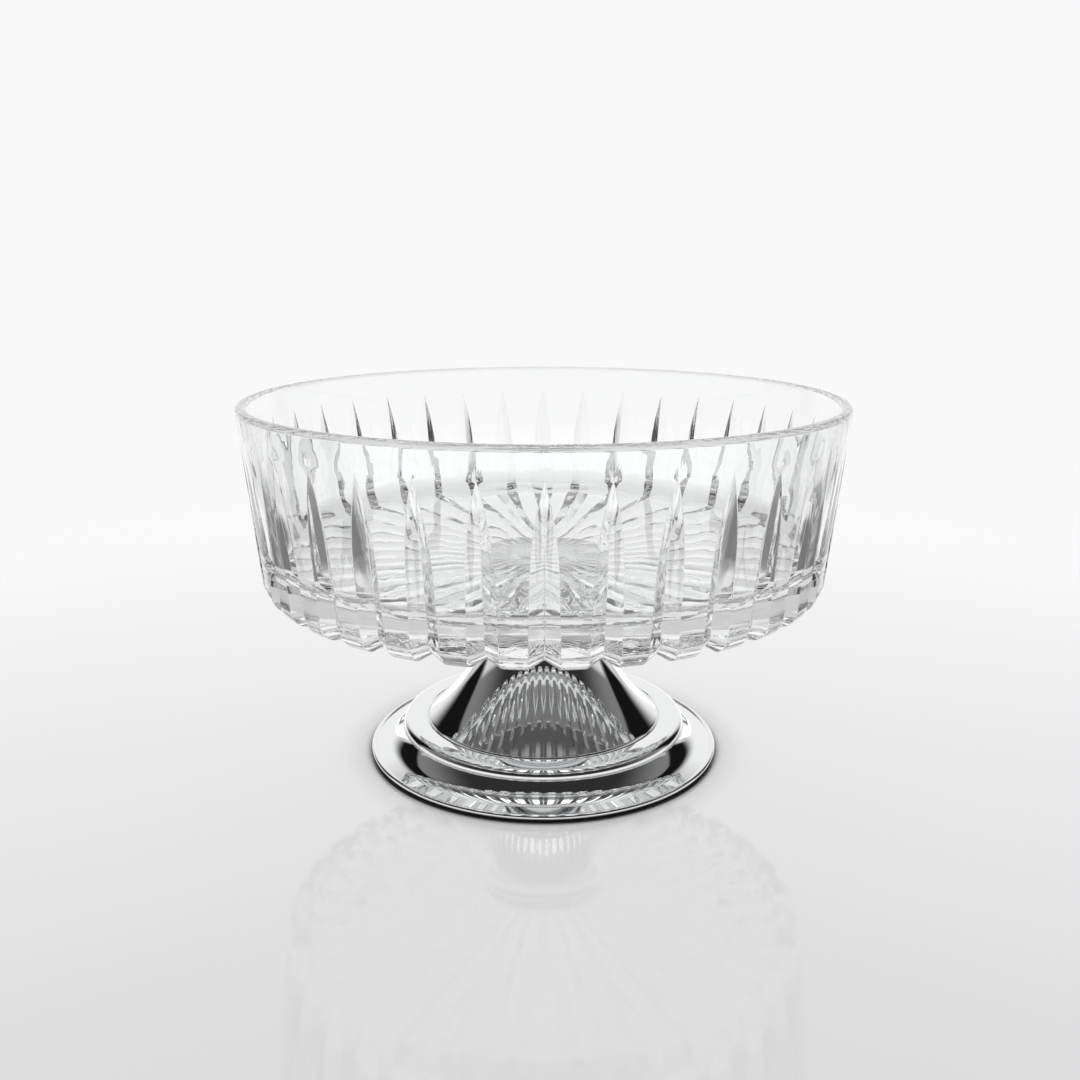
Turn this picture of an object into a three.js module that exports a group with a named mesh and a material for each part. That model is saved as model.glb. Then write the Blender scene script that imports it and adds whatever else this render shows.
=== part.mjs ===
// A footed bowl of cut crystal.
// The glass is bonded to a turned boss. A tie rod screwed into the boss draws the bowl down on a plated
// pedestal and a plated base, and a board covered in felt closes the base from below.
// Millimetres, +Z up. The origin lies on the table, on the axis of the bowl.

import * as THREE from "three";

// Clearance between pieces that slip into one another
const FIT = 0.3;

// Base, a spinning in plated sheet
const SHEET = 1.0; // thickness of the metal in the base and the pedestal
const BASE_RADIUS = 61.2; // to the outside of the rolled edge
const EDGE_RADIUS = 0.9; // half the thickness of the rolled edge
const EDGE_LIFT = 0.35; // the felt holds the rolled edge this far off the table
const BRIM_WIDTH = 3.25; // flat, from the middle of the rolled edge in to the toe
const TOE_RADIUS = 2; // bend from the brim up into the cove
const COVE_RADIUS = 17.3; // wide hollow curve from the toe up to the ring
const COVE_FOOT_ANGLE = 60; // degrees that the cove leans back at its foot, from the upright
const COVE_TOP_ANGLE = 30; // the same, at its top
const RING_UNDER_ANGLE = 18; // degrees that the ring goes on turning, under its widest line
const RING_WIDTH = 6; // from the ring's widest line in to its crown
const RING_HEIGHT = 2.6; // from the ring's widest line up to its crown
const RING_INSIDE = 2.9; // from the ring's crown in to the step down to the ledge
const LEDGE_DEPTH = 1.8; // from the ring's crown down to the ledge that carries the pedestal
const LEDGE_WIDTH = 11;

// Pedestal, a second spinning that stands inside the ring
const SKIRT_HEIGHT = 1.26; // upright part above the ledge
const SHOULDER_RADIUS = 1.5; // bend from the skirt into the flare
const FLARE_FOOT_ANGLE = 51; // degrees from the upright, where the flare starts
const FLARE_NECK_ANGLE = 9.5; // the same, where it runs into the neck
const NECK_RADIUS = 19.7; // at its narrowest
const LIP_CURVE_RADIUS = 4; // from the neck out into the lip
const LIP_RADIUS = 24;

// Boss under the glass, and the film of adhesive that bonds the two
const BOSS_RADIUS = 23.5;
const BOSS_THICKNESS = 2.5;
const SPIGOT_HEIGHT = 8; // the part of the boss that centres in the neck
const HUB_RADIUS = 8;
const HUB_LENGTH = 16;
const TAPPED_DEPTH = 14;
const FILM_THICKNESS = 0.5;
const FILM_MARGIN = 0.7; // the film stops this far short of the boss's edge

// Tie rod and what it clamps with
const ROD_RADIUS = 3;
const ROD_PROUD = 1.6; // length of rod below the nut
const ROD_ROOM = 2; // free height between the rod and the board
const NUT_ACROSS_FLATS = 10;
const NUT_HEIGHT = 5;
const WASHER_RADIUS = 6.2;
const WASHER_THICKNESS = 1.6;
const LOCK_RADIUS = 5.6;
const LOCK_THICKNESS = 1.6;
const LOCK_SLIT = 20; // degrees
const PLATE_THICKNESS = 1.5;
const PLATE_BEARING = 7; // width of the plate's rim under the ledge
const PLATEAU_RADIUS = 14;

// Board and felt
const FELT_THICKNESS = 1.5;
const BOARD_THICKNESS = 2.4;

// Bowl, before it is cut. Heights are from its seat on the adhesive
const RIM_RADIUS = 100;
const RIM_THICKNESS = 3.8;
const BOWL_HEIGHT = 68.2;
const WALL_DRAFT = 5.6; // degrees from the upright
const CORNER_RADIUS = 7; // between the wall and the underside
const UNDERSIDE_ANGLE = 4.5; // degrees from level
const SEAT_RADIUS = 25;
const FLOOR_HEIGHT = 16.7;
const FLOOR_RADIUS = 90.5; // where floor and inner wall would meet in an edge
const FLOOR_FILLET = 8;

// Flutes: mitre cuts that run down the wall, round the corner and in along the underside as a star.
// Over the seat the star's cuts stay open, so the adhesive bonds the strips between them
const FLUTE_COUNT = 36;
const FLUTE_ANGLE = 116; // degrees between the two faces of a cut
const FLUTE_TIP_DROP = 7.5; // from the rim to the point of a flute
const FLUTE_WALL_DEPTH = 2.1;
const FLUTE_CORNER_DEPTH = 2.75;
const FLUTE_ENTRY = 26; // length over which the cut reaches its depth
const STAR_TIP_RADIUS = 8; // the star runs in over the seat to this radius
const STAR_ENTRY = 14;
const FLUTE_STEPS = [0, 0.12, 0.4, 1]; // shares of a flute's entry at which the solid has a ring of points
const STAR_STEPS = [1, 0.3, 0]; // the same for the star's entry, from the outside in

// Fineness of the solids
const AROUND = 48;
const AROUND_SMALL = 24;
const ARC_STEPS = 3; // pairs of steps in an arc
const SLOW_ARC_STEPS = 2; // the same, in an arc that turns less
const NEAR = 1e-6; // points closer than this are one point

const radians = THREE.MathUtils.degToRad;

// Where the pieces stand, worked out from the table up
const edgeMiddleZ = EDGE_LIFT + EDGE_RADIUS;
const edgeMiddleRadius = BASE_RADIUS - EDGE_RADIUS;
const ringUnder = radians(RING_UNDER_ANGLE);
const coveFoot = radians(COVE_FOOT_ANGLE);
const coveTop = radians(COVE_TOP_ANGLE);
const brimZ = EDGE_LIFT + SHEET;
const toeMiddleZ = brimZ + TOE_RADIUS;
const coveMiddleZ = toeMiddleZ + (COVE_RADIUS - TOE_RADIUS) * Math.sin(coveFoot);
const toeMiddleRadius = edgeMiddleRadius - BRIM_WIDTH;
const coveMiddleRadius = toeMiddleRadius + (COVE_RADIUS - TOE_RADIUS) * Math.cos(coveFoot);
const crownRadius = coveMiddleRadius - COVE_RADIUS * Math.cos(coveTop) - RING_WIDTH * Math.cos(ringUnder);
const ringSideZ = coveMiddleZ - COVE_RADIUS * Math.sin(coveTop) + RING_HEIGHT * Math.sin(ringUnder);
const ringCrownZ = ringSideZ + RING_HEIGHT;
const ledgeZ = ringCrownZ - LEDGE_DEPTH;
const ledgeOuterRadius = crownRadius - RING_INSIDE;
const ledgeInnerRadius = ledgeOuterRadius - LEDGE_WIDTH;

const flareFoot = radians(FLARE_FOOT_ANGLE);
const flareNeck = radians(FLARE_NECK_ANGLE);
const skirtRadius = ledgeOuterRadius - FIT;
const flareStartRadius = skirtRadius - SHOULDER_RADIUS * (1 - Math.cos(flareFoot));
const flareEndRadius = NECK_RADIUS + LIP_CURVE_RADIUS * (1 - Math.cos(flareNeck));
const flareRadius = (flareStartRadius - flareEndRadius) / (Math.cos(flareNeck) - Math.cos(flareFoot));
const flareMiddleRadius = flareEndRadius + flareRadius * Math.cos(flareNeck);
const flareMiddleZ = SKIRT_HEIGHT + (SHOULDER_RADIUS + flareRadius) * Math.sin(flareFoot);
const lipMiddleZ = flareMiddleZ - (flareRadius - LIP_CURVE_RADIUS) * Math.sin(flareNeck);
const pedestalHeight = lipMiddleZ + LIP_CURVE_RADIUS + SHEET;

const bossZ = ledgeZ + pedestalHeight;
const filmZ = bossZ + BOSS_THICKNESS;
const seatZ = filmZ + FILM_THICKNESS;
const spigotRadius = NECK_RADIUS - SHEET - FIT;
const boreRadius = ROD_RADIUS + FIT;

// Board and felt reach out to the inside of the cove
const boardTopZ = FELT_THICKNESS + BOARD_THICKNESS;
const boardRadius = insideCove(boardTopZ);
const feltRadius = insideCove(FELT_THICKNESS);

const rodBottomZ = boardTopZ + ROD_ROOM;
const nutZ = rodBottomZ + ROD_PROUD;
const lockZ = nutZ + NUT_HEIGHT;
const washerZ = lockZ + LOCK_THICKNESS;
const plateauZ = washerZ + WASHER_THICKNESS;
const plateTopZ = ledgeZ - SHEET;
const rodTopZ = bossZ - HUB_LENGTH + TAPPED_DEPTH - FIT;

// The radius at which a piece of a given height fits inside the cove
function insideCove(height) {
  return coveMiddleRadius - Math.sqrt((COVE_RADIUS + SHEET + FIT) ** 2 - (coveMiddleZ - height) ** 2);
}

// The points of a path, without the doubles that joining arcs leave
function pathPoints(path, steps = ARC_STEPS) {
  const points = [];
  for (const next of path.getPoints(steps)) {
    if (!points.length || points.at(-1).distanceTo(next) > NEAR) {
      points.push(next);
    }
  }
  return points;
}

// The step to the left of an outline's course at one of its points, mitred so that both sides move by one
function leftStep(points, i) {
  const sides = [];
  for (const at of [i - 1, i]) {
    if (points[at] && points[at + 1]) {
      const course = points[at + 1].clone().sub(points[at]).normalize();
      sides.push(new THREE.Vector2(-course.y, course.x));
    }
  }
  const first = sides[0];
  const last = sides.at(-1);
  return first.clone().add(last).divideScalar(1 + first.dot(last));
}

// An outline moved to its left, by one distance or by one for each point
function moved(points, distance) {
  return points.map((start, i) => {
    const by = Array.isArray(distance) ? distance[i] : distance;
    return leftStep(points, i).multiplyScalar(by).add(start);
  });
}

// An arc of a given radius in place of a corner
function rounded(before, corner, after, radius, steps) {
  const back = before.clone().sub(corner).normalize();
  const on = after.clone().sub(corner).normalize();
  const half = Math.acos(back.dot(on)) / 2;
  const middle = back.clone().add(on).normalize().multiplyScalar(radius / Math.sin(half)).add(corner);
  const start = back.clone().multiplyScalar(radius / Math.tan(half)).add(corner);
  const turn = Math.sign(on.cross(back)) * (Math.PI - 2 * half);
  const arc = [];
  for (let i = 0; i <= steps; i++) {
    arc.push(start.clone().rotateAround(middle, (turn * i) / steps));
  }
  return arc;
}

// A body of revolution about Z from an outline of radius and height
function turned(outline, around = AROUND) {
  return new THREE.LatheGeometry(outline, around).rotateX(Math.PI / 2);
}

function closed(outline) {
  return [...outline, outline[0].clone()];
}

function point(radius, height) {
  return new THREE.Vector2(radius, height);
}

function disc(radius, thickness, around = AROUND) {
  return turned([point(0, 0), point(radius, 0), point(radius, thickness), point(0, thickness)], around);
}

function washer(outerRadius, holeRadius, thickness) {
  const outline = [
    point(holeRadius, 0),
    point(outerRadius, 0),
    point(outerRadius, thickness),
    point(holeRadius, thickness),
  ];
  return turned(closed(outline), AROUND_SMALL);
}

// Base: from the ledge out over the ring, down the cove and along the brim to the rolled edge
function baseGeometry() {
  const crease = Math.acos(-RING_INSIDE / RING_WIDTH);
  const rollStart = Math.PI - Math.asin((brimZ - edgeMiddleZ) / EDGE_RADIUS);
  const top = new THREE.Path();
  top.moveTo(ledgeInnerRadius, ledgeZ);
  top.lineTo(ledgeOuterRadius, ledgeZ);
  top.absellipse(crownRadius, ringSideZ, RING_WIDTH, RING_HEIGHT, crease, -ringUnder, true);
  top.absarc(coveMiddleRadius, coveMiddleZ, COVE_RADIUS, Math.PI + coveTop, Math.PI + coveFoot, false);
  top.absarc(toeMiddleRadius, toeMiddleZ, TOE_RADIUS, Math.PI + coveFoot, 1.5 * Math.PI, false);
  top.lineTo(edgeMiddleRadius + EDGE_RADIUS * Math.cos(rollStart), brimZ);
  const edge = new THREE.Path();
  edge.absarc(edgeMiddleRadius, edgeMiddleZ, EDGE_RADIUS, rollStart, -Math.PI / 2, true);
  const above = pathPoints(top);
  const roll = pathPoints(edge);
  const below = moved(above, -SHEET).reverse();
  return turned(closed([...above, ...roll.slice(1), ...below].reverse()));
}

// Pedestal: skirt, bent shoulder, one long flare up to the neck, and a lip
function pedestalGeometry() {
  const shoulderRadius = skirtRadius - SHOULDER_RADIUS;
  const lipMiddleRadius = NECK_RADIUS + LIP_CURVE_RADIUS;
  const outside = new THREE.Path();
  outside.moveTo(skirtRadius, 0);
  outside.lineTo(skirtRadius, SKIRT_HEIGHT);
  outside.absarc(shoulderRadius, SKIRT_HEIGHT, SHOULDER_RADIUS, 0, flareFoot, false);
  outside.absarc(flareMiddleRadius, flareMiddleZ, flareRadius, Math.PI + flareFoot, Math.PI + flareNeck, true);
  outside.absarc(lipMiddleRadius, lipMiddleZ, LIP_CURVE_RADIUS, Math.PI + flareNeck, Math.PI / 2, true);
  outside.lineTo(LIP_RADIUS, lipMiddleZ + LIP_CURVE_RADIUS);
  const skin = pathPoints(outside);
  return turned(closed([...skin, ...moved(skin, SHEET).reverse()]));
}

// Boss: a flange under the glass, a spigot that centres in the neck, and a hub tapped for the rod
function bossGeometry() {
  const hubEnd = -HUB_LENGTH;
  const boreEnd = hubEnd + TAPPED_DEPTH;
  return turned([
    point(0, boreEnd),
    point(boreRadius, boreEnd),
    point(boreRadius, hubEnd),
    point(HUB_RADIUS, hubEnd),
    point(HUB_RADIUS, -SPIGOT_HEIGHT),
    point(spigotRadius, -SPIGOT_HEIGHT),
    point(spigotRadius, 0),
    point(BOSS_RADIUS, 0),
    point(BOSS_RADIUS, BOSS_THICKNESS),
    point(0, BOSS_THICKNESS),
  ]);
}

// Clamp plate: a dished pressing whose rim bears on the underside of the base's ledge
function clampPlateGeometry() {
  const rimZ = plateTopZ - PLATE_THICKNESS;
  const dishRadius = ledgeInnerRadius - PLATE_THICKNESS - FIT;
  const under = [
    point(boreRadius, plateauZ),
    point(PLATEAU_RADIUS, plateauZ),
    point(dishRadius, rimZ),
    point(ledgeInnerRadius + PLATE_BEARING, rimZ),
  ];
  return turned(closed([...under, ...moved(under, PLATE_THICKNESS).reverse()]));
}

function nutGeometry() {
  const cornerRadius = NUT_ACROSS_FLATS / 2 / Math.cos(Math.PI / 6);
  const hexagon = new THREE.Shape();
  for (let corner = 0; corner < 6; corner++) {
    const angle = (corner * Math.PI) / 3;
    const place = [cornerRadius * Math.cos(angle), cornerRadius * Math.sin(angle)];
    if (corner === 0) {
      hexagon.moveTo(...place);
    } else {
      hexagon.lineTo(...place);
    }
  }
  hexagon.holes.push(new THREE.Path().absarc(0, 0, boreRadius, 0, 2 * Math.PI, true));
  const size = { depth: NUT_HEIGHT, bevelEnabled: false, curveSegments: AROUND_SMALL / 2 };
  return new THREE.ExtrudeGeometry(hexagon, size);
}

// Lock washer: a ring with a slit
function lockWasherGeometry() {
  const start = radians(LOCK_SLIT / 2);
  const end = 2 * Math.PI - start;
  const ring = new THREE.Shape();
  ring.absarc(0, 0, LOCK_RADIUS, start, end, false);
  ring.absarc(0, 0, boreRadius, end, start, true);
  const size = { depth: LOCK_THICKNESS, bevelEnabled: false, curveSegments: AROUND_SMALL / 2 };
  return new THREE.ExtrudeGeometry(ring, size);
}

// Inside of the bowl, from the edge of the flat floor up the wall and over half of the rim
function bowlInside(rimZ) {
  const wallTop = point(RIM_RADIUS - RIM_THICKNESS, rimZ);
  const corner = point(FLOOR_RADIUS, FLOOR_HEIGHT);
  const floor = rounded(point(0, FLOOR_HEIGHT), corner, wallTop, FLOOR_FILLET, SLOW_ARC_STEPS);
  const rim = new THREE.Path();
  const half = RIM_THICKNESS / 2;
  rim.absarc(RIM_RADIUS - half, rimZ, half, Math.PI, 0, true);
  return [...floor, ...pathPoints(rim, SLOW_ARC_STEPS)];
}

// Outside of the bowl below the rim. Each place has the depth of the flute there
function bowlOutside(rimZ) {
  const draft = Math.tan(radians(WALL_DRAFT));
  const rise = Math.tan(radians(UNDERSIDE_ANGLE));
  const cornerRadius = (RIM_RADIUS - (rimZ + SEAT_RADIUS * rise) * draft) / (1 - rise * draft);
  const rim = point(RIM_RADIUS, rimZ);
  const corner = point(cornerRadius, (cornerRadius - SEAT_RADIUS) * rise);
  const seat = point(SEAT_RADIUS, 0);
  const bend = rounded(rim, corner, seat, CORNER_RADIUS, ARC_STEPS);
  const wallEnd = bend[0];
  const starEnd = bend.at(-1);

  const places = [];
  const depths = [];
  const tip = rim.clone().lerp(wallEnd, FLUTE_TIP_DROP / rim.distanceTo(wallEnd));
  const wallLength = tip.distanceTo(wallEnd);
  const entryShare = FLUTE_ENTRY / wallLength;
  const wallShares = FLUTE_STEPS.map((step) => step * entryShare);
  for (const share of [...wallShares, (1 + entryShare) / 2]) {
    const entry = Math.min(share / entryShare, 1);
    const full = THREE.MathUtils.lerp(FLUTE_WALL_DEPTH, FLUTE_CORNER_DEPTH, share);
    places.push(tip.clone().lerp(wallEnd, share));
    depths.push(full * entry * (2 - entry));
  }
  for (const place of bend) {
    places.push(place);
    depths.push(FLUTE_CORNER_DEPTH);
  }
  const entryPlaces = STAR_STEPS.map((step) => point(STAR_TIP_RADIUS + step * STAR_ENTRY, 0));
  for (const place of [seat.clone().lerp(starEnd, 0.5), seat, ...entryPlaces]) {
    const entry = Math.min((place.x - STAR_TIP_RADIUS) / STAR_ENTRY, 1);
    places.push(place);
    depths.push(((FLUTE_CORNER_DEPTH * place.x) / starEnd.x) * entry * (2 - entry));
  }
  return { places, depths };
}

// Bowl: rings of points, joined in turn. A ring has four points for each flute: the two edges of the cut
// with its bottom between them, and the middle of the plain strip beside it
function bowlGeometry() {
  const rimZ = BOWL_HEIGHT - RIM_THICKNESS / 2;
  const pitch = (2 * Math.PI) / FLUTE_COUNT;
  const spread = Math.tan(radians(FLUTE_ANGLE / 2));
  const vertices = [];
  const known = new Map();
  const triangles = [];

  function vertex(radius, height, angle) {
    const place = [radius * Math.cos(angle), radius * Math.sin(angle), height];
    const key = place.map((value) => value.toFixed(5)).join();
    if (!known.has(key)) {
      known.set(key, vertices.length / 3);
      vertices.push(...place);
    }
    return known.get(key);
  }

  function triangle(a, b, c) {
    if (a !== b && b !== c && c !== a) {
      triangles.push(a, b, c);
    }
  }

  function ring(surface, bottom, halfAngle) {
    const made = [];
    for (let flute = 0; flute < FLUTE_COUNT; flute++) {
      const middle = (flute * 2 * Math.PI) / FLUTE_COUNT - Math.PI / 2;
      made.push(vertex(surface.x, surface.y, middle - halfAngle));
      made.push(vertex(bottom.x, bottom.y, middle));
      made.push(vertex(surface.x, surface.y, middle + halfAngle));
      made.push(vertex(surface.x, surface.y, middle + pitch / 2));
    }
    return made;
  }

  const plainRing = (place) => ring(place, place, pitch / 4);
  const { places, depths } = bowlOutside(rimZ);
  const course = [point(RIM_RADIUS, rimZ), ...places, point(0, 0)];
  const bottoms = moved(course, [0, ...depths.map((depth) => -depth), 0]).slice(1, -1);
  const rings = bowlInside(rimZ).map(plainRing);
  places.forEach((place, i) => rings.push(ring(place, bottoms[i], (depths[i] * spread) / place.x)));
  rings.unshift(rings[0].map(() => vertex(0, FLOOR_HEIGHT, 0)));
  rings.push(rings[0].map(() => vertex(0, 0, 0)));

  for (let row = 0; row + 1 < rings.length; row++) {
    for (let column = 0; column < rings[row].length; column++) {
      const next = (column + 1) % rings[row].length;
      const [a, b] = [rings[row + 1][column], rings[row + 1][next]];
      const [d, c] = [rings[row][column], rings[row][next]];
      if (column % 2) {
        triangle(a, b, c);
        triangle(a, c, d);
      } else {
        triangle(a, b, d);
        triangle(b, c, d);
      }
    }
  }
  const geometry = new THREE.BufferGeometry();
  geometry.setAttribute("position", new THREE.Float32BufferAttribute(vertices, 3));
  geometry.setIndex(triangles);
  geometry.computeVertexNormals();
  return geometry;
}

// Finishes
const crystal = new THREE.MeshStandardMaterial({
  color: 0xf3f5f5,
  roughness: 0.02,
  metalness: 0,
  transparent: true,
  opacity: 0.4,
});
const adhesive = new THREE.MeshStandardMaterial({ color: 0xeef0ea, roughness: 0.1, metalness: 0 });
const plating = new THREE.MeshStandardMaterial({ color: 0xd8dadc, roughness: 0.04, metalness: 1 });
const zinc = new THREE.MeshStandardMaterial({ color: 0xa9adb0, roughness: 0.4, metalness: 1 });
const fibreboard = new THREE.MeshStandardMaterial({ color: 0x7d6247, roughness: 0.9, metalness: 0 });
const wool = new THREE.MeshStandardMaterial({ color: 0x26282b, roughness: 1, metalness: 0 });

const footedBowl = new THREE.Group();

function addPiece(name, geometry, material, height) {
  const mesh = new THREE.Mesh(geometry, material);
  mesh.name = name;
  mesh.position.z = height;
  footedBowl.add(mesh);
}

const rodGeometry = disc(ROD_RADIUS, rodTopZ - rodBottomZ, AROUND_SMALL);
addPiece("crystal_bowl", bowlGeometry(), crystal, seatZ);
addPiece("bond_film", disc(BOSS_RADIUS - FILM_MARGIN, FILM_THICKNESS), adhesive, filmZ);
addPiece("mounting_boss", bossGeometry(), plating, bossZ);
addPiece("pedestal_shell", pedestalGeometry(), plating, ledgeZ);
addPiece("base_flange", baseGeometry(), plating, 0);
addPiece("clamp_plate", clampPlateGeometry(), zinc, 0);
addPiece("tie_rod", rodGeometry, zinc, rodBottomZ);
addPiece("flat_washer", washer(WASHER_RADIUS, boreRadius, WASHER_THICKNESS), zinc, washerZ);
addPiece("lock_washer", lockWasherGeometry(), zinc, lockZ);
addPiece("hex_nut", nutGeometry(), zinc, nutZ);
addPiece("base_board", disc(boardRadius, boardTopZ - FELT_THICKNESS), fibreboard, FELT_THICKNESS);
addPiece("felt_pad", disc(feltRadius, FELT_THICKNESS), wool, 0);

export default footedBowl;
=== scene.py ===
# %% [markdown]
# # A footed bowl of cut crystal
# This lesson builds the looks of a crystal bowl on a plated foot. The solid part, with its pieces and its
# frame, exists already. Here every piece gets a finer surface and a finish, and the bowl is set on a pale
# table in a plain studio. Everything is in metres, +Z is up, and the origin lies on the table under the bowl.

# %% Load the solid part
import math

import bpy
import numpy as np
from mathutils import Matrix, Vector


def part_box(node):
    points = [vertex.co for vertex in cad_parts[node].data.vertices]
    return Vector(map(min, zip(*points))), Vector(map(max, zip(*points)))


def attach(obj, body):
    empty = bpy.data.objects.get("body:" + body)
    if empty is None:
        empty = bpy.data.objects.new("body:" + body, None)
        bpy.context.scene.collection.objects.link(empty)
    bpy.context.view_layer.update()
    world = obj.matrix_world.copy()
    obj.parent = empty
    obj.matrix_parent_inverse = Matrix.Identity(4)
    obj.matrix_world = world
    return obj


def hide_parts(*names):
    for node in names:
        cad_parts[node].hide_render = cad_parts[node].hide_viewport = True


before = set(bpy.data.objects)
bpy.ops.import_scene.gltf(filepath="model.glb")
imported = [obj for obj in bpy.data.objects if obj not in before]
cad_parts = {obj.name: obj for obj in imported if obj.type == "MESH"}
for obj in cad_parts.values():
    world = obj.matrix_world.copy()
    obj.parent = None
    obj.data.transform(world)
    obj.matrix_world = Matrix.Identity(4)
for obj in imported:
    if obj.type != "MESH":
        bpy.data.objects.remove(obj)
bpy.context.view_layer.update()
MM = 0.001
print("pieces in the solid part:", sorted(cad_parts))

# %% [markdown]
# ## Two tools for making surfaces
# Almost every piece here is turned on a lathe or spun from sheet, so it is an outline swept round the axis. A
# curve with a Screw modifier could do that. A grid of points is used instead, because the cut bowl needs one
# anyway, and then one tool makes every mesh. The first tool joins the last column of a grid to the first. The
# second sweeps an outline of radius and height, in millimetres, into such a grid. Edges sharper than an angle
# stay crisp, and all others are shaded as curves.

# %% Grid and lathe
SAME_PLACE = 1e-9


def grid_mesh(name, grid, crisp):
    """A mesh from rows of points that run round the axis. A row of equal points becomes one point."""
    rows, columns, _ = grid.shape
    vertices = []
    index = np.zeros((rows, columns), int)
    for r in range(rows):
        single = np.ptp(grid[r], axis=0).max() < SAME_PLACE
        for c in range(columns):
            if c == 0 or not single:
                vertices.append(grid[r, c] * MM)
            index[r, c] = len(vertices) - 1
    faces = []
    for r in range(rows - 1):
        for c in range(columns):
            after = (c + 1) % columns
            corners = [index[r, c], index[r, after], index[r + 1, after], index[r + 1, c]]
            face = list(dict.fromkeys(int(i) for i in corners))
            if len(face) > 2:
                faces.append(face)
    mesh = bpy.data.meshes.new(name)
    mesh.from_pydata([tuple(v) for v in vertices], [], faces)
    mesh.shade_smooth()
    mesh.set_sharp_from_angle(angle=math.radians(crisp))
    piece = bpy.data.objects.new(name, mesh)
    bpy.context.scene.collection.objects.link(piece)
    return piece


def turned(name, outline, around=160, crisp=35):
    """An outline of (radius, height) swept round the axis. It runs with the material on its left."""
    outline = np.array(outline, float)
    angles = np.arange(around) * 2 * math.pi / around
    grid = np.zeros((len(outline), around, 3))
    grid[:, :, 0] = outline[:, :1] * np.cos(angles)
    grid[:, :, 1] = outline[:, :1] * np.sin(angles)
    grid[:, :, 2] = outline[:, 1:]
    return grid_mesh(name, grid, crisp)


# %% [markdown]
# ## Arcs, and places taken from the solids
# Round stretches of an outline are arcs with as many steps as their size needs. Heights and radii could be
# typed in again, but they are read from the solid pieces wherever a fine piece has to meet one, so that both
# always agree. A fine piece then takes the place of its solid, and gets a finish of its own.

# %% Arcs and fitting
def arc(middle, radius, start, end, steps):
    """Points on an arc. Angles are in degrees from the outward direction, and radius may be (wide, high)."""
    wide, high = radius if isinstance(radius, tuple) else (radius, radius)
    turn = np.radians(np.linspace(start, end, steps + 1))
    return [(middle[0] + wide * math.cos(t), middle[1] + high * math.sin(t)) for t in turn]


def heights(node):
    """The lowest and highest point of a solid piece, in millimetres."""
    low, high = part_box(node)
    return low.z / MM, high.z / MM


def radius_of(node):
    """The outer radius of a solid piece, in millimetres."""
    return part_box(node)[1].x / MM


def stands_for(piece, node, material):
    """Lets a fine piece take the place of a solid one, with a finish."""
    piece.data.materials.append(material)
    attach(piece, "root")
    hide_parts(node)
    print(node, "has", len(piece.data.vertices), "points and", len(piece.data.polygons), "faces")


# %% [markdown]
# ## Tools for finishes
# Each finish is one surface shader with a little structure in it: real polish, plating and felt are never
# perfectly even. A painted image could hold that structure. Noise is used here, because it has no seams and
# stays sharp however near one looks. One tool makes the shader, and the others feed it with noise, as
# roughness, as colour or as fine relief.

# %% Shader helpers
NOISE_RANGE = (0.3, 0.7)


def finish(name, color, roughness, metallic=0.0):
    """A new material with its one surface shader."""
    material = bpy.data.materials.new(name)
    material.use_nodes = True
    shader = material.node_tree.nodes["Principled BSDF"]
    shader.inputs["Base Color"].default_value = (*color, 1)
    shader.inputs["Roughness"].default_value = roughness
    shader.inputs["Metallic"].default_value = metallic
    return material, shader


def feed(material, shader, socket, value):
    """Links a value to a socket of the surface shader."""
    material.node_tree.links.new(value, shader.inputs[socket])


def noise(material, scale, stretch=(1, 1, 1), detail=4.0):
    """Noise fixed to the piece, in cycles per metre along each axis."""
    nodes, links = material.node_tree.nodes, material.node_tree.links
    place = nodes.new("ShaderNodeTexCoord")
    mapping = nodes.new("ShaderNodeMapping")
    mapping.inputs["Scale"].default_value = stretch
    texture = nodes.new("ShaderNodeTexNoise")
    texture.inputs["Scale"].default_value = scale
    texture.inputs["Detail"].default_value = detail
    links.new(place.outputs["Object"], mapping.inputs["Vector"])
    links.new(mapping.outputs["Vector"], texture.inputs["Vector"])
    return texture.outputs["Fac"]


def spread(material, value, low, high):
    """Spreads noise, which keeps near one half, over a range."""
    node = material.node_tree.nodes.new("ShaderNodeMapRange")
    node.inputs["From Min"].default_value = NOISE_RANGE[0]
    node.inputs["From Max"].default_value = NOISE_RANGE[1]
    node.inputs["To Min"].default_value = low
    node.inputs["To Max"].default_value = high
    material.node_tree.links.new(value, node.inputs["Value"])
    return node.outputs["Result"]


def relief(material, shader, value, depth, strength=1.0):
    """Turns a value into relief of some depth in metres."""
    node = material.node_tree.nodes.new("ShaderNodeBump")
    node.inputs["Distance"].default_value = depth
    node.inputs["Strength"].default_value = strength
    material.node_tree.links.new(value, node.inputs["Height"])
    feed(material, shader, "Normal", node.outputs["Normal"])


def mixed(material, value, first, second):
    """A colour between two, by a value."""
    node = material.node_tree.nodes.new("ShaderNodeMix")
    node.data_type = "RGBA"
    node.inputs["A"].default_value = (*first, 1)
    node.inputs["B"].default_value = (*second, 1)
    material.node_tree.links.new(value, node.inputs["Factor"])
    return node.outputs["Result"]


# %% [markdown]
# ## The crystal
# The bowl is lead crystal, which bends light a little more than window glass does. After cutting, it is
# dipped in acid until every face shines. That leaves a surface which is clear but slightly wavy. A Glass node
# could show it too, but the surface shader takes roughness and relief in the same way as all other finishes
# here. The relief is a few hundredths of a millimetre deep, in waves about nine millimetres long.

# %% Crystal
CRYSTAL_IOR = 1.545
CRYSTAL_POLISH = (0.0, 0.012)
POLISH_PATCHES = 60.0
WAVES = 110.0
WAVE_DEPTH = 0.00006

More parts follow.
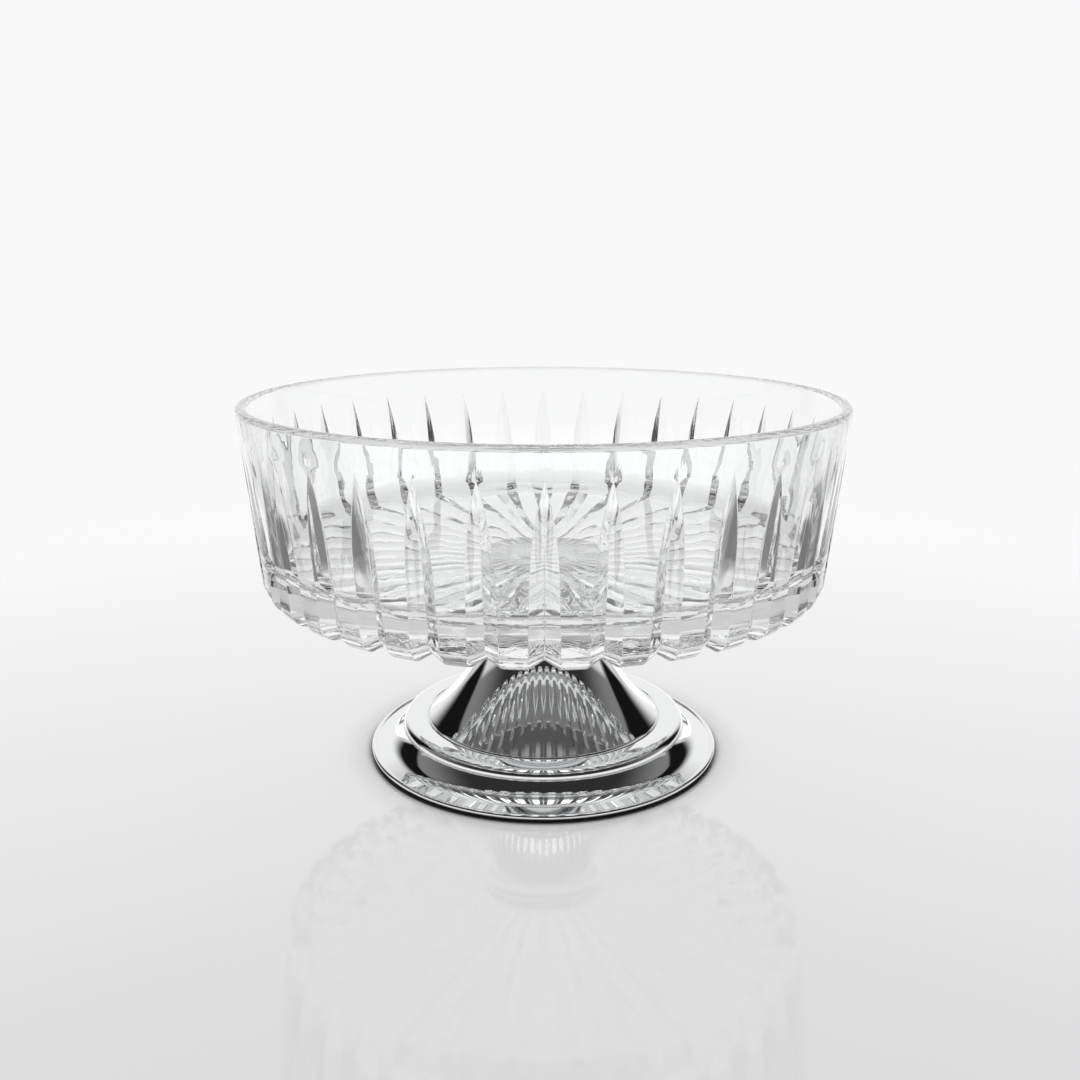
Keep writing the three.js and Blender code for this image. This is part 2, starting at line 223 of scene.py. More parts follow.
crystal, shader = finish("crystal", (0.985, 0.99, 0.99), 0.0)
shader.inputs["Transmission Weight"].default_value = 1.0
shader.inputs["IOR"].default_value = CRYSTAL_IOR
feed(crystal, shader, "Roughness", spread(crystal, noise(crystal, POLISH_PATCHES), *CRYSTAL_POLISH))
relief(crystal, shader, noise(crystal, WAVES, detail=1.0), WAVE_DEPTH)
print("the crystal has an index of", CRYSTAL_IOR)

# %% [markdown]
# ## The bowl before it is cut
# A blank is pressed or blown first, with a thick floor and a wall that leans out. Its outline has four parts:
# the floor and the inner wall, the rounded rim, the outer wall, and the underside that slopes up from the
# seat. A bevel could round its two corners, but the cuts follow the outer corner closely, so both corners are
# worked out as arcs that touch the straight stretches beside them.

# %% A rounded corner
def fillet(before, corner, after, radius, steps):
    """Points on an arc that rounds a corner of an outline."""
    before, corner, after = (np.array(p, float) for p in (before, corner, after))
    back = (before - corner) / np.linalg.norm(before - corner)
    on = (after - corner) / np.linalg.norm(after - corner)
    half = math.acos(back @ on) / 2
    inward = (back + on) / np.linalg.norm(back + on)
    middle = corner + inward * radius / math.sin(half)
    start = corner + back * radius / math.tan(half) - middle
    turn = math.copysign(math.pi - 2 * half, on[0] * back[1] - on[1] * back[0])
    points = []
    for t in np.linspace(0, turn, steps + 1):
        x = start[0] * math.cos(t) - start[1] * math.sin(t)
        y = start[0] * math.sin(t) + start[1] * math.cos(t)
        points.append(middle + (x, y))
    return points


# %% Outline of the blank
RIM_RADIUS = 100.0
RIM_THICKNESS = 3.8
WALL_DRAFT = 5.6
CORNER_RADIUS = 7.0
UNDERSIDE_ANGLE = 4.5
SEAT_RADIUS = 25.0
FLOOR_HEIGHT = 16.7
FLOOR_RADIUS = 90.5
FLOOR_FILLET = 8.0

seat_z, top_z = heights("crystal_bowl")
rim_z = top_z - RIM_THICKNESS / 2
floor_z = seat_z + FLOOR_HEIGHT
draft = math.tan(math.radians(WALL_DRAFT))
rise = math.tan(math.radians(UNDERSIDE_ANGLE))
wall_height = rim_z - seat_z
corner_radius = (RIM_RADIUS - (wall_height + SEAT_RADIUS * rise) * draft) / (1 - rise * draft)
outer_corner = (corner_radius, seat_z + (corner_radius - SEAT_RADIUS) * rise)
outer_bend = fillet((RIM_RADIUS, rim_z), outer_corner, (SEAT_RADIUS, seat_z), CORNER_RADIUS, steps=10)
inner_top = (RIM_RADIUS - RIM_THICKNESS, rim_z)
inner_bend = fillet((0, floor_z), (FLOOR_RADIUS, floor_z), inner_top, FLOOR_FILLET, steps=8)
rim = arc((RIM_RADIUS - RIM_THICKNESS / 2, rim_z), RIM_THICKNESS / 2, 180, 0, steps=12)
print("the wall meets the underside at radius", round(corner_radius, 2), "mm")

# %% [markdown]
# ## The flutes
# A wheel with a V-shaped edge cuts each flute. Held against the wall it goes in slowly, so a flute starts as
# a point and widens as it deepens. It runs down the wall, round the corner and in along the underside, where
# the cuts together make a star. Boolean modifiers could cut wedges from a blank, but they leave long thin
# faces, which show in glass. So the cut surface is laid out here row by row, with a depth of cut for each
# row. Rows lie close together where the wheel goes in and comes out.

# %% Depth of cut along a flute
FLUTE_TIP_DROP = 7.5
FLUTE_WALL_DEPTH = 2.1
FLUTE_CORNER_DEPTH = 2.75
FLUTE_ENTRY = 26.0
ENTRY_STEPS = (0.002, 0.02, 0.05, 0.1, 0.17, 0.25, 0.35, 0.48, 0.64, 0.82, 1.0)
WALL_STEPS = 4


def between(first, last, share):
    """A point part of the way from one to another."""
    return np.array(first) + (np.array(last) - np.array(first)) * share


def eased(share):
    """How far the wheel has gone in after a share of its entry."""
    share = min(share, 1.0)
    return share * (2 - share)


def wall_depth(share):
    """The full depth of cut after a share of the way down the wall."""
    return FLUTE_WALL_DEPTH + (FLUTE_CORNER_DEPTH - FLUTE_WALL_DEPTH) * share


wall_top = np.array((RIM_RADIUS, rim_z))
wall_end = outer_bend[0]
tip = between(wall_top, wall_end, FLUTE_TIP_DROP / np.linalg.norm(wall_end - wall_top))
entry = FLUTE_ENTRY / np.linalg.norm(wall_end - tip)
places, depths = [], []
for step in ENTRY_STEPS:
    places.append(between(tip, wall_end, step * entry))
    depths.append(wall_depth(step * entry) * eased(step))
for share in np.linspace(entry, 1, WALL_STEPS + 1)[1:-1]:
    places.append(between(tip, wall_end, share))
    depths.append(wall_depth(share))
for point in outer_bend:
    places.append(point)
    depths.append(FLUTE_CORNER_DEPTH)
print(len(places), "rows from the tip round the corner")

# %% [markdown]
# Towards the middle of the underside the cuts draw together, so they have to get shallower in step with the
# radius. They run on over the seat and come out as points near the axis, which closes the star.

# %% Depth of cut along the star
STAR_TIP_RADIUS = 8.0
STAR_ENTRY = 14.0
UNDERSIDE_STEPS = (0.25, 0.5, 0.75, 0.97)
EXIT_STEPS = (1.0, 0.75, 0.5, 0.3, 0.15, 0.05, 0.002)

star_end = outer_bend[-1]
seat = np.array((SEAT_RADIUS, seat_z))
star_places = [between(star_end, seat, share) for share in UNDERSIDE_STEPS]
for share in EXIT_STEPS:
    star_places.append(np.array((STAR_TIP_RADIUS + share * STAR_ENTRY, seat_z)))
for place in star_places:
    entered = eased((place[0] - STAR_TIP_RADIUS) / STAR_ENTRY)
    places.append(place)
    depths.append(FLUTE_CORNER_DEPTH * place[0] / star_end[0] * entered)
print(len(places), "rows of the cut surface")

# %% [markdown]
# ## The bowl as one grid
# Seen from above, one flute has two edge strips, two faces and a narrow bottom, and then comes the plain
# stretch up to the next one. The strips stand for edges that polishing has rounded: on real cut glass they
# catch the light as thin lines. A Bevel modifier could make them too, but not down to the flutes' points.
# Each row of the grid holds these points for all flutes. The depth is measured square to the surface.

# %% One row of the bowl
FLUTE_COUNT = 36
FLUTE_ANGLE = 116.0
EDGE_STRIP = 0.16
STRIP_LIMIT = 0.3
FLUTE_COLUMNS = 6
PAD_COLUMNS = 4

spread_of_cut = math.tan(math.radians(FLUTE_ANGLE / 2))
pitch = 2 * math.pi / FLUTE_COUNT
columns_per_flute = FLUTE_COLUMNS + PAD_COLUMNS - 1


def ring(place, across, below, facing):
    """One row: for each column of a flute its offset round the wall and its depth, in millimetres."""
    points = []
    for flute in range(FLUTE_COUNT):
        middle = flute * pitch - math.pi / 2
        for offset, depth in zip(across, below):
            radius, height = np.array(place) - np.array(facing) * depth
            angle = middle + offset / place[0]
            points.append((radius * math.cos(angle), radius * math.sin(angle), height))
    return points


def plain_ring(place):
    """A row without cuts. On the axis all its points are one."""
    if place[0] == 0:
        return [(0.0, 0.0, place[1])] * (columns_per_flute * FLUTE_COUNT)
    around = pitch * place[0]
    across = np.linspace(0, around, columns_per_flute, endpoint=False) - around / 4
    return ring(place, across, [0.0] * columns_per_flute, (0, 0))


def cut_ring(place, depth, facing):
    """A row across the flutes and the plain stretches between them."""
    half = depth * spread_of_cut
    strip = min(EDGE_STRIP, half * STRIP_LIMIT)
    edge = [-half - strip, -half + strip, -strip, strip, half - strip, half + strip]
    pad = np.linspace(half + strip, pitch * place[0] - half - strip, PAD_COLUMNS + 1)[1:-1]
    side = strip / spread_of_cut
    low = depth - side
    return ring(place, [*edge, *pad], [0, side, low, low, side, 0, *[0] * len(pad)], facing)


print(columns_per_flute, "columns for each of", FLUTE_COUNT, "flutes")

# %% [markdown]
# The rows run from the middle of the floor up the inside, over the rim, down the cut outside and back to the
# axis. The faces of a flute are flat, so the normals are weighted by the size of the faces. Otherwise the
# narrow strips would bend the shading of the wide faces beside them.

# %% The bowl
FLOOR_RINGS = (0, 25, 50, 70)
INNER_WALL_STEPS = (0.25, 0.5, 0.75)
SEAT_RINGS = (4, 0)
ALL_SMOOTH = 180
FLATNESS = 85

course = np.array([wall_top, *places, (0, seat_z)])
along_course = np.gradient(course, axis=0)
facing = np.stack([-along_course[:, 1], along_course[:, 0]], axis=1)
facing /= np.linalg.norm(facing, axis=1, keepdims=True)

rows = [plain_ring((radius, floor_z)) for radius in FLOOR_RINGS]
rows += [plain_ring(point) for point in inner_bend]
rows += [plain_ring(between(inner_bend[-1], inner_top, share)) for share in INNER_WALL_STEPS]
rows += [plain_ring(point) for point in rim]
rows += [cut_ring(*row) for row in zip(places, depths, facing[1:])]
rows += [plain_ring((radius, seat_z)) for radius in SEAT_RINGS]
bowl = grid_mesh("bowl_fine", np.array(rows[::-1]), ALL_SMOOTH)
weighted = bowl.modifiers.new("flat faces", "WEIGHTED_NORMAL")
weighted.mode = "FACE_AREA"
weighted.weight = FLATNESS
stands_for(bowl, "crystal_bowl", crystal)

# %% [markdown]
# ## The plating
# Pedestal and base are spun from sheet metal over a form, polished and plated to a mirror. Spinning leaves
# faint lines round the axis, and handling leaves the odd soft smear. An anisotropic shader could draw the
# lines, but they are far weaker than the reflections. So smears only vary the roughness, and the lines are a
# relief of a few thousandths of a millimetre, with noise that is stretched flat.

# %% Plating
SMEARS = 35.0
MIRROR_POLISH = (0.015, 0.05)
SPIN_LINES = 900.0
SPIN_STRETCH = (0.05, 0.05, 1.0)
SPIN_DEPTH = 0.000004

plating, shader = finish("plating", (0.86, 0.865, 0.87), 0.03, metallic=1.0)
feed(plating, shader, "Roughness", spread(plating, noise(plating, SMEARS), *MIRROR_POLISH))
spin_lines = noise(plating, SPIN_LINES, stretch=SPIN_STRETCH, detail=2.0)
relief(plating, shader, spin_lines, SPIN_DEPTH, strength=0.3)
print("the plating has a roughness from", *MIRROR_POLISH)

# %% [markdown]
# ## The base
# The base rises from a rolled edge over a narrow brim, which slopes a little, and through one wide hollow
# curve, the cove, to a ring with a flat top and a round edge. Inside the ring lies the ledge that carries
# the pedestal. Such a hollow curve is a mirror that gathers: it shows the dark room above and the whole
# underside of the glass below. So its arcs decide the looks of the foot. They are worked out one from the
# next, from the edge inwards, so that each meets its neighbour without a kink.

# %% Arcs of the base
SHEET = 1.0
EDGE_RADIUS = 0.9
BRIM_WIDTH = 3.25
TOE_RADIUS = 2.0
TOE_START = 45.0
SOFT_TOE_RADIUS = 7.5
COVE_RADIUS = 17.3
COVE_FOOT = 60.0
COVE_TOP = 30.0
RING_UNDER = 18.0
RING_WIDTH = 6.0
RING_HEIGHT = 2.6
RING_INSIDE = 2.9
RING_EDGE = 3.0


def towards(degrees):
    """A step of length one, by its angle from the outward direction."""
    return np.array((math.cos(math.radians(degrees)), math.sin(math.radians(degrees))))


base_low, base_top = heights("base_flange")
pedestal_low, pedestal_top = heights("pedestal_shell")
edge = np.array((radius_of("base_flange") - EDGE_RADIUS, base_low + EDGE_RADIUS))
toe = np.array((edge[0] - BRIM_WIDTH, base_low + SHEET + TOE_RADIUS))
cove = toe + (COVE_RADIUS - TOE_RADIUS) * towards(COVE_FOOT)
soft_toe = cove - (COVE_RADIUS - SOFT_TOE_RADIUS) * towards(TOE_START)
ring_end = cove - COVE_RADIUS * towards(COVE_TOP)
ring_edge = ring_end - (RING_EDGE, RING_HEIGHT) * towards(-RING_UNDER)
ring_middle = ring_end - (RING_WIDTH, RING_HEIGHT) * towards(-RING_UNDER)
ledge_radius = ring_middle[0] - RING_INSIDE
print("the ring is", round(2 * (ring_middle[0] + RING_WIDTH), 1), "mm wide")

# %% [markdown]
# The metal is one millimetre thick, so the inside follows the outside. A Solidify modifier could thicken a
# single skin. Here one function draws the skin at any depth in the metal, and the outline goes out along the
# outside and back along the inside, round the rolled edge.

# %% Base
BRIM_SLOPE = 12.0
LEDGE_WIDTH = 11.0
RING_CHAMFER = 0.5
RING_CROWN = 0.1
ROLL_START = 155.0
MIRROR_COLUMNS = 224


def base_skin(inset):
    """The outline of the base from the ledge out to the brim, moved inwards through the metal."""
    inside = ledge_radius + inset
    points = [(ledge_radius - LEDGE_WIDTH, pedestal_low - inset), (inside, pedestal_low - inset)]
    points += [(inside, base_top - RING_CHAMFER - inset)]
    points += [(inside + RING_CHAMFER, base_top - RING_CROWN - inset), (ring_middle[0], base_top - inset)]
    points += arc(ring_edge, (RING_EDGE - inset, RING_HEIGHT - inset), 90, -RING_UNDER, steps=24)
    points += arc(cove, COVE_RADIUS + inset, 180 + COVE_TOP, 180 + TOE_START, steps=14)
    points += arc(soft_toe, SOFT_TOE_RADIUS + inset, 180 + TOE_START, 270 - BRIM_SLOPE, steps=14)
    return points


roll = arc(edge, EDGE_RADIUS, ROLL_START, -90, steps=24)
outline = [*base_skin(0.0), *roll, *base_skin(SHEET)[::-1]]
base = turned("base_fine", [*outline, outline[0]][::-1], around=MIRROR_COLUMNS)
stands_for(base, "base_flange", plating)

# %% [markdown]
# ## The pedestal
# The pedestal stands inside the ring. Its edge turns down into a short upright skirt, so a dark seam shows
# round its foot. From there one long hollow curve sweeps in to the neck and turns out again to the lip under
# the boss. A free curve could be drawn by eye, but an arc through both ends gives a mirror without bumps. Its
# radius follows from the angles at which it leaves the shoulder and reaches the neck.

# %% Pedestal
FIT = 0.3
SHOULDER_RADIUS = 1.5
FLARE_FOOT = 51.0
FLARE_NECK = 9.5
NECK_RADIUS = 19.7
LIP_CURVE = 4.0
LIP_RADIUS = 24.0

skirt_radius = ledge_radius - FIT
lip = np.array((NECK_RADIUS + LIP_CURVE, pedestal_top - SHEET - LIP_CURVE))
neck = lip - LIP_CURVE * towards(FLARE_NECK)
flare_start = skirt_radius - SHOULDER_RADIUS + SHOULDER_RADIUS * towards(FLARE_FOOT)[0]
flare_radius = (flare_start - neck[0]) / (towards(FLARE_NECK) - towards(FLARE_FOOT))[0]
flare = neck + flare_radius * towards(FLARE_NECK)
shoulder = flare - (flare_radius + SHOULDER_RADIUS) * towards(FLARE_FOOT)


def pedestal_skin(inset):
    """The pedestal's outline, moved inwards through the metal."""
    points = [(skirt_radius - inset, pedestal_low)]
    points += arc(shoulder, SHOULDER_RADIUS - inset, 0, FLARE_FOOT, steps=12)
    points += arc(flare, flare_radius + inset, 180 + FLARE_FOOT, 180 + FLARE_NECK, steps=40)
    points += arc(lip, LIP_CURVE + inset, 180 + FLARE_NECK, 90, steps=12)
    points += [(LIP_RADIUS, pedestal_top - SHEET + inset)]
    return points


outline = [*pedestal_skin(0.0), *pedestal_skin(SHEET)[::-1]]
pedestal = turned("pedestal_fine", [*outline, outline[0]], around=MIRROR_COLUMNS)
stands_for(pedestal, "pedestal_shell", plating)
print("the flare has a radius of", round(flare_radius, 1), "mm")

# %% [markdown]
# ## The boss
# The boss is turned from bar, plated, bonded to the glass and tapped from below. Its spigot centres in the
# neck. On a lathe every outer edge gets a small chamfer, which keeps the boss from chipping the glass. A
# Bevel modifier could add them, but in a turned outline a chamfer is only one more point.

# %% Boss
CHAMFER = 0.4
TAP_RADIUS = 3.3
TAP_DEPTH = 14.0
TAIL_RADIUS = 8.0
SPIGOT_HEIGHT = 8.0
FLANGE_RADIUS = 23.5
FLANGE_HEIGHT = 2.5

boss_low, boss_top = heights("mounting_boss")
tap_end = boss_low + TAP_DEPTH
flange_z = boss_top - FLANGE_HEIGHT
spigot_z = flange_z - SPIGOT_HEIGHT
spigot = NECK_RADIUS - SHEET - FIT
boss_outline = [
    (0, tap_end), (TAP_RADIUS, tap_end),
    (TAP_RADIUS, boss_low + CHAMFER), (TAP_RADIUS + CHAMFER, boss_low),
    (TAIL_RADIUS - CHAMFER, boss_low), (TAIL_RADIUS, boss_low + CHAMFER),
    (TAIL_RADIUS, spigot_z), (spigot - CHAMFER, spigot_z), (spigot, spigot_z + CHAMFER),
    (spigot, flange_z), (FLANGE_RADIUS - CHAMFER, flange_z), (FLANGE_RADIUS, flange_z + CHAMFER),
    (FLANGE_RADIUS, boss_top - CHAMFER), (FLANGE_RADIUS - CHAMFER, boss_top), (0, boss_top),
]
boss = turned("boss_fine", boss_outline, around=128)
stands_for(boss, "mounting_boss", plating)

# %% [markdown]
# ## The film of adhesive
# A clear adhesive holds the boss to the glass. It is set by light and bulges slightly at its edge. A plain
# disc would hide that, so its edge is half a circle. It lies a hair above the boss, because two surfaces in
# the very same place would flicker.

# %% Film
FILM_RADIUS = 22.8
FILM_LIFT = 0.00002
FILM_POLISH = (0.0, 0.04)

adhesive, shader = finish("adhesive", (0.97, 0.97, 0.96), 0.02)
shader.inputs["Transmission Weight"].default_value = 1.0
feed(adhesive, shader, "Roughness", spread(adhesive, noise(adhesive, 120.0), *FILM_POLISH))
film_low, film_top = heights("bond_film")
film_half = (film_top - film_low) / 2
bulge = arc((FILM_RADIUS - film_half, film_low + film_half), film_half, -90, 90, steps=8)
film = turned("film_fine", [(0, film_low), *bulge, (0, film_top)], around=128)
film.location.z = FILM_LIFT
stands_for(film, "bond_film", adhesive)

# %% [markdown]
# ## Zinc, and the rod
# A steel rod screwed into the boss runs down through the foot. It and the pieces round it are zinc plated:
# grey, a little blue and never shiny. One grain of noise gives the colour, the roughness and the relief, as
# one crystal does in real zinc. A thread is a helix, and a Screw modifier could turn one. Few ever see this
# rod, so grooves one pitch apart stand for it.

# %% Zinc
ZINC_GRAIN = 300.0
ZINC_DARK = (0.52, 0.54, 0.56)
ZINC_LIGHT = (0.68, 0.7, 0.72)

zinc, shader = finish("zinc", (0.6, 0.62, 0.64), 0.4, metallic=1.0)
grain = noise(zinc, ZINC_GRAIN)
feed(zinc, shader, "Base Color", mixed(zinc, grain, ZINC_DARK, ZINC_LIGHT))
feed(zinc, shader, "Roughness", spread(zinc, grain, 0.3, 0.5))
relief(zinc, shader, grain, 0.00001, strength=0.4)
print("zinc has", ZINC_GRAIN, "grains to the metre")

# %% Rod
ROD_RADIUS = 3.0
THREAD_PITCH = 1.0
THREAD_DEPTH = 0.55

rod_low, rod_top = heights("tie_rod")
groove = ROD_RADIUS - THREAD_DEPTH
rod_outline = [(0, rod_low), (groove, rod_low), (ROD_RADIUS, rod_low + THREAD_DEPTH)]
height = rod_low + 2 * THREAD_DEPTH
while height < rod_top - 2 * THREAD_PITCH:
    rod_outline += [(groove, height), (ROD_RADIUS, height + THREAD_PITCH / 2)]
    height += THREAD_PITCH
rod_outline += [(ROD_RADIUS, rod_top - THREAD_DEPTH), (groove, rod_top), (0, rod_top)]
rod = turned("rod_fine", rod_outline, around=32)
stands_for(rod, "tie_rod", zinc)

# %% [markdown]
# ## Plate, washers and nut
# A dished plate, pressed from sheet, lies against the ledge of the base. A flat washer, a lock washer and a
# nut on the rod pull it up. Plate and flat washer are outlines like the rest. The nut is a hexagon whose
# corners are turned off at both ends, so its rows change from a circle to a hexagon and back. The lock washer
# is a slit ring that the nut presses flat. Its solid shows that already, so it only gets its finish.

# %% Plate and washers
BOLT_HOLE = 3.3
PLATE_SHEET = 1.5
PLATE_RADIUS = 37.1
DISH_UNDER = (14.0, 28.3)
DISH_OVER = (14.68, 28.97)
WASHER_RADIUS = 6.2
WASHER_CHAMFER = 0.2

plate_low, plate_top = heights("clamp_plate")
hub_z = plate_top - PLATE_SHEET
flat_z = plate_low + PLATE_SHEET
under = [(BOLT_HOLE, hub_z), (DISH_UNDER[0], hub_z), (DISH_UNDER[1], plate_low), (PLATE_RADIUS, plate_low)]
over = [(PLATE_RADIUS, flat_z), (DISH_OVER[1], flat_z), (DISH_OVER[0], plate_top), (BOLT_HOLE, plate_top)]
plate = turned("plate_fine", [*under, *over, under[0]], around=96)
stands_for(plate, "clamp_plate", zinc)

washer_low, washer_top = heights("flat_washer")
washer_face = WASHER_RADIUS - WASHER_CHAMFER
washer_outline = [
    (BOLT_HOLE, washer_low), (washer_face, washer_low), (WASHER_RADIUS, washer_low + WASHER_CHAMFER),
    (WASHER_RADIUS, washer_top - WASHER_CHAMFER), (washer_face, washer_top), (BOLT_HOLE, washer_top),
    (BOLT_HOLE, washer_low),
]
stands_for(turned("washer_fine", washer_outline, around=64), "flat_washer", zinc)

lock_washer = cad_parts["lock_washer"]
lock_washer.data.materials.clear()
lock_washer.data.materials.append(zinc)
print("the lock washer keeps its solid shape, in zinc")

# %% Nut
NUT_HALF = 5.0
NUT_ROUND = 5.35
NUT_BEVEL = 0.45
NUT_COLUMNS = 48
NUT_CRISP = 25

nut_low, nut_top = heights("hex_nut")
angles = np.arange(NUT_COLUMNS) * 2 * math.pi / NUT_COLUMNS
hexagon = NUT_HALF / np.cos((angles + math.pi / 6) % (math.pi / 3) - math.pi / 6)
bore = np.full(NUT_COLUMNS, BOLT_HOLE)
bevel = np.minimum(hexagon, NUT_ROUND)
nut_rows = [
    (bore, nut_low), (bevel, nut_low), (hexagon, nut_low + NUT_BEVEL), (hexagon, nut_top - NUT_BEVEL),
    (bevel, nut_top), (bore, nut_top), (bore, nut_low),
]
nut_grid = []
for radii, z in nut_rows:
    flat = np.full(NUT_COLUMNS, z)
    nut_grid.append(np.stack([radii * np.cos(angles), radii * np.sin(angles), flat], axis=1))
stands_for(grid_mesh("nut_fine", np.array(nut_grid), NUT_CRISP), "hex_nut", zinc)

# %% [markdown]
# ## The board
# A disc of pressed fibreboard closes the base. It is chips and fibres in glue, so its colour is mottled and
# its surface a little rough. A photograph of board could be wrapped on it, but fine noise with many octaves
# gives the same mottle without an image.

# %% Board
BOARD_CHAMFER = 0.3
CHIPS = 700.0
CHIP_DARK = (0.33, 0.23, 0.15)
CHIP_LIGHT = (0.5, 0.38, 0.27)

fibreboard, shader = finish("fibreboard", (0.42, 0.31, 0.21), 0.85)
chips = noise(fibreboard, CHIPS, detail=8.0)
mottle = mixed(fibreboard, spread(fibreboard, chips, 0.0, 1.0), CHIP_DARK, CHIP_LIGHT)
feed(fibreboard, shader, "Base Color", mottle)
relief(fibreboard, shader, chips, 0.00008, strength=0.5)
board_low, board_top = heights("base_board")
board = radius_of("base_board")
board_outline = [(0, board_low), (board, board_low), (board, board_top - BOARD_CHAMFER)]
board_outline += [(board - BOARD_CHAMFER, board_top), (0, board_top)]
stands_for(turned("board_fine", board_outline, around=128), "base_board", fibreboard)

# %% [markdown]
# ## The felt
# Felt is glued over the board so that the foot doesn't scratch the table. It is a mat of wool fibres: dark,
# dull, and a little lighter along its rounded edge where it is seen at a slant. Hair particles could stand
# for the fibres. At this size a sheen and a fine relief look the same and cost nothing.

# %% Felt
FELT_CHAMFER = 0.3
FELT_ROUND = 0.5
FIBRES = 1800.0
WOOL_DARK = (0.035, 0.036, 0.039)
WOOL_LIGHT = (0.075, 0.078, 0.083)

felt, shader = finish("felt", (0.05, 0.052, 0.056), 0.95)
fibres = noise(felt, FIBRES, detail=8.0)
feed(felt, shader, "Base Color", mixed(felt, spread(felt, fibres, 0.0, 1.0), WOOL_DARK, WOOL_LIGHT))
shader.inputs["Sheen Weight"].default_value = 0.4
relief(felt, shader, fibres, 0.00025, strength=0.7)
felt_low, felt_top = heights("felt_pad")
felt_edge = radius_of("felt_pad")
felt_outline = [(0, felt_low), (felt_edge - FELT_CHAMFER, felt_low), (felt_edge, felt_low + FELT_CHAMFER)]
felt_outline += arc((felt_edge - FELT_ROUND, felt_top - FELT_ROUND), FELT_ROUND, 0, 90, steps=6)
felt_outline += [(0, felt_top)]
stands_for(turned("felt_fine", felt_outline, around=160), "felt_pad", felt)

# %% [markdown]
# ## Tools for levels of light
# Table and studio are both made of levels of light that change from one place or direction to the next. An
# image of a studio could hold them. Nodes are used here, because each level then has a name and can be
# changed. The tools put a number or a link into a socket, do one sum, make a smooth ramp, and mix two
# levels. Each takes the tree that it works in, so the table and the sky can share them.

# %% Level helpers
def put(tree, socket, value):
    """Sets a socket to a number, or links it to a value."""
    if isinstance(value, (int, float)):
        socket.default_value = value
    else:
        tree.links.new(value, socket)


def reckon(tree, operation, first, second=0.0):
    """One sum."""
    node = tree.nodes.new("ShaderNodeMath")
    node.operation = operation
    put(tree, node.inputs[0], first)
    put(tree, node.inputs[1], second)
    return node.outputs[0]


def ramp(tree, value, start, end):
    """Rises smoothly from 0 to 1 between two values."""
    node = tree.nodes.new("ShaderNodeMapRange")
    node.interpolation_type = "SMOOTHSTEP"
    node.inputs["From Min"].default_value = start
    node.inputs["From Max"].default_value = end
    put(tree, node.inputs["Value"], value)
    return node.outputs["Result"]


def blend(tree, first, second, factor):
    """A level between two, by a factor from 0 to 1."""
    node = tree.nodes.new("ShaderNodeMix")
    put(tree, node.inputs["A"], first)
    put(tree, node.inputs["B"], second)
    put(tree, node.inputs["Factor"], factor)
    return node.outputs["Result"]


def vector_step(tree, operation, vector):
    """One sum on a vector."""
    node = tree.nodes.new("ShaderNodeVectorMath")
    node.operation = operation
    tree.links.new(vector, node.inputs[0])
    return node


# %% [markdown]
# ## The table
# The bowl stands on a sheet of acrylic with a clear gloss that mirrors the bowl softly. The sheet itself
# gives off an even light. Round the foot that light is turned down where the Ambient Occlusion node finds the
# foot
# close by: painted shade, which is the soft dark line where the foot stands. A lamp under a milky sheet could
# light the sheet from below instead, at the price of much noise.

# %% Acrylic sheet
TABLE_RINGS = (1600, 600, 200, 0)
TABLE_DROP = 0.0002
ACRYLIC_IOR = 1.7
GLOSS = (0.04, 0.07)
GLOW = 0.63
PAINTED_SHADE_REACH = 0.022
PAINTED_SHADE_FULL = 0.62

table = turned("table", [(radius, 0) for radius in TABLE_RINGS], around=96)
table.location.z = -TABLE_DROP
acrylic, shader = finish("acrylic", (0.15, 0.15, 0.15), 0.06)
shader.inputs["Emission Color"].default_value = (1, 1, 1, 1)
shader.inputs["IOR"].default_value = ACRYLIC_IOR
feed(acrylic, shader, "Roughness", spread(acrylic, noise(acrylic, 18.0), *GLOSS))
sheet = acrylic.node_tree
# Painted shade: the glow is turned down near the foot, where the Ambient Occlusion node finds it close by.
nearby = sheet.nodes.new("ShaderNodeAmbientOcclusion")
nearby.samples = 8
nearby.inputs["Distance"].default_value = PAINTED_SHADE_REACH
painted_shade = sheet.nodes.new("ShaderNodeMapRange")
painted_shade.inputs["From Min"].default_value = PAINTED_SHADE_FULL
painted_shade.inputs["To Min"].default_value = 0.0
painted_shade.inputs["To Max"].default_value = GLOW
sheet.links.new(nearby.outputs["AO"], painted_shade.inputs["Value"])
print("the table glows with", GLOW, "and is shaded for", PAINTED_SHADE_REACH, "m round the foot")

# %% [markdown]
# Dark cards laid left and right of a glass give its cuts dark faces, which is an old way to show the form of
# clear things. They could be real sheets on the table. Then the camera would see them too, so they are a
# part of the glow that only light in the glass and on the metal meets. That light also finds the rest of the
# sheet a little brighter.

# %% Dark cards
CARD_START = (0.20, 0.24)
CARD_WIDTH = (0.20, 0.14)
CARD_DARKENS = 0.95
GAIN_IN_GLASS = 0.15

place = sheet.nodes.new("ShaderNodeTexCoord").outputs["Object"]
seen = sheet.nodes.new("ShaderNodeLightPath").outputs["Is Camera Ray"]
beside = sheet.nodes.new("ShaderNodeSeparateXYZ")
sheet.links.new(vector_step(sheet, "ABSOLUTE", place).outputs["Vector"], beside.inputs[0])
card = reckon(sheet, "MULTIPLY", ramp(sheet, beside.outputs["X"], *CARD_START), CARD_DARKENS)
card = reckon(sheet, "MULTIPLY", card, ramp(sheet, beside.outputs["Y"], *CARD_WIDTH))
in_glass = reckon(sheet, "SUBTRACT", 1.0, seen)
change = reckon(sheet, "MULTIPLY", in_glass, reckon(sheet, "SUBTRACT", GAIN_IN_GLASS, card))
# The glow carries the painted shade round the foot.
glow = reckon(sheet, "MULTIPLY", reckon(sheet, "ADD", change, 1.0), painted_shade.outputs["Result"])
feed(acrylic, shader, "Emission Strength", glow)
print("dark cards start", CARD_START[0], "m beside the bowl")

